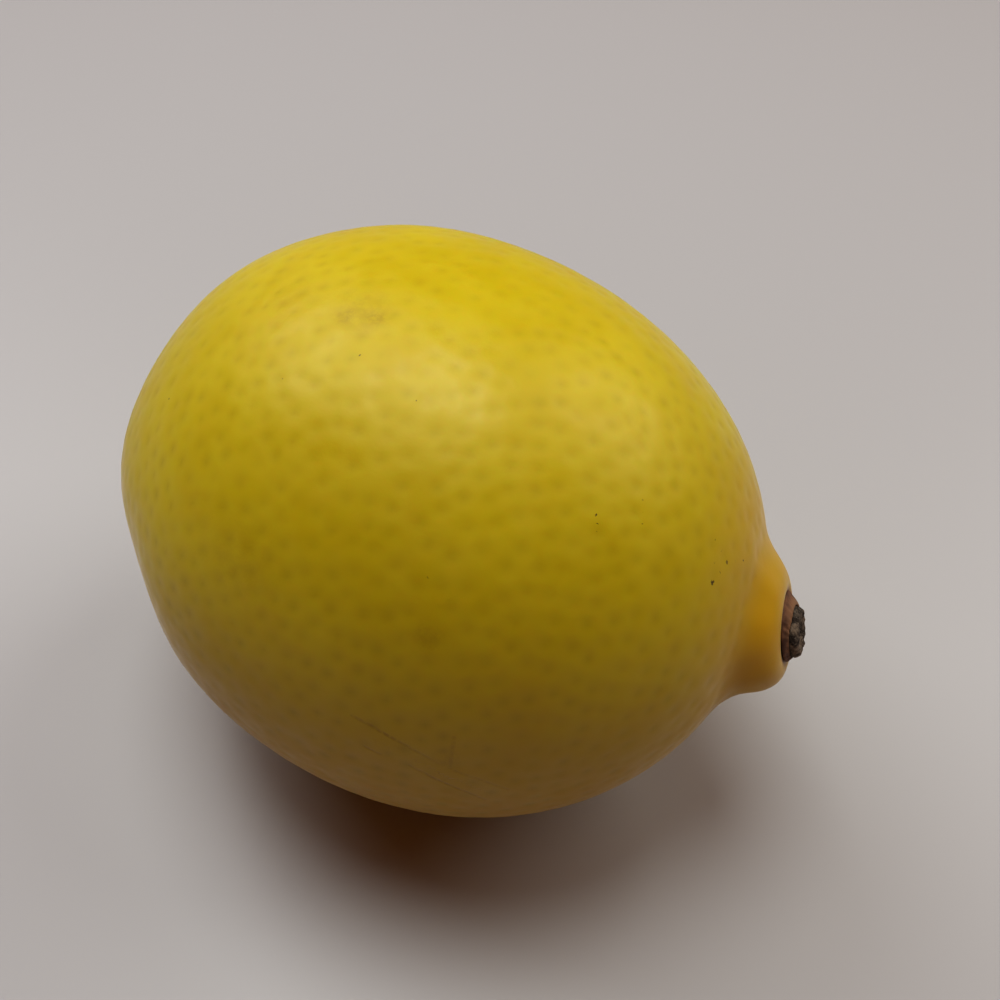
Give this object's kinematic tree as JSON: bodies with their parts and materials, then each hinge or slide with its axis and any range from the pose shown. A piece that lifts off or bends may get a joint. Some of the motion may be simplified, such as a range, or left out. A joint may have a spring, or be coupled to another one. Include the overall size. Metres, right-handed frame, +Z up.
{
  "type": "lemon",
  "caption": "Whole lemon lying on its side, with a blunt nub, dried calyx and woody stem stub at its stem end.",
  "frame": {"origin": "bottom centre of the part's box, on the surface that the fruit lies on", "axes": "+X towards the stem end along the fruit's length, +Z up"},
  "size_m": [0.0794, 0.06, 0.0595],
  "materials": {
    "peel": "waxy peel with fine oil glands",
    "dried_calyx": "dry brown",
    "stem_wood": "rough weathered grey"
  },
  "bodies": {
    "root": {"fruit": "peel", "calyx": "dried_calyx", "stem_stub": "stem_wood"}
  },
  "joints": []
}
